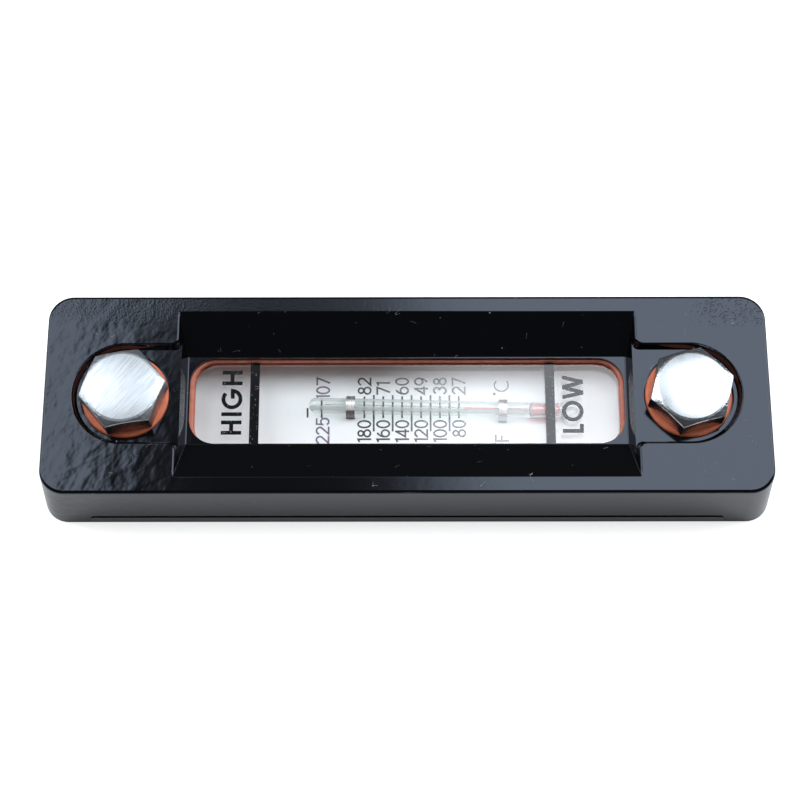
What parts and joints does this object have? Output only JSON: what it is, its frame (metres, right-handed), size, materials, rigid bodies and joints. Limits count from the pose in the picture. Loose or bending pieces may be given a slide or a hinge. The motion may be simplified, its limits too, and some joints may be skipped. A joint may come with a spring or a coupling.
{
  "type": "tank level gauge",
  "caption": "Oblong liquid level gauge for a hydraulic tank, with a clear sight pane, high and low marks, a glass thermometer on a white scale, and hollow mounting bolts.",
  "frame": {"origin": "middle of the rear face that seals against the tank, on the line between the two bolts", "axes": "+X along the gauge from the HIGH mark to the LOW mark, +Y across it, +Z out of the front; in use -X points up the tank wall"},
  "size_m": [0.1666, 0.0494, 0.0464],
  "materials": {
    "housing_paint": "gloss black coating on a die casting",
    "seal_silicone": "satin orange silicone",
    "window_clear": "clear polished pane",
    "print_black": "matt black print",
    "tray_white": "satin white moulding",
    "thermometer_clear": "clear drawn glass",
    "spirit_red": "red spirit",
    "clip_bright": "bright strip",
    "bolt_zinc": "clear zinc plating, faint machining lines",
    "plate_zinc": "zinc plated sheet",
    "screw_zinc": "zinc plated, machined"
  },
  "bodies": {
    "root": {"guard_housing": "housing_paint", "window_gasket": "seal_silicone", "sight_glass": "window_clear", "level_marks": "print_black", "scale_tray": "tray_white", "scale_ticks": "print_black", "thermometer_glass": "thermometer_clear", "thermometer_spirit": "spirit_red", "thermometer_clip_high": "clip_bright", "thermometer_clip_low": "clip_bright", "back_gasket": "seal_silicone", "back_plate": "plate_zinc", "cover_screws": "screw_zinc", "bolt_high": "bolt_zinc", "bolt_low": "bolt_zinc", "head_seal_high": "seal_silicone", "head_seal_low": "seal_silicone", "tank_seal_high": "seal_silicone", "tank_seal_low": "seal_silicone"}
  },
  "joints": []
}
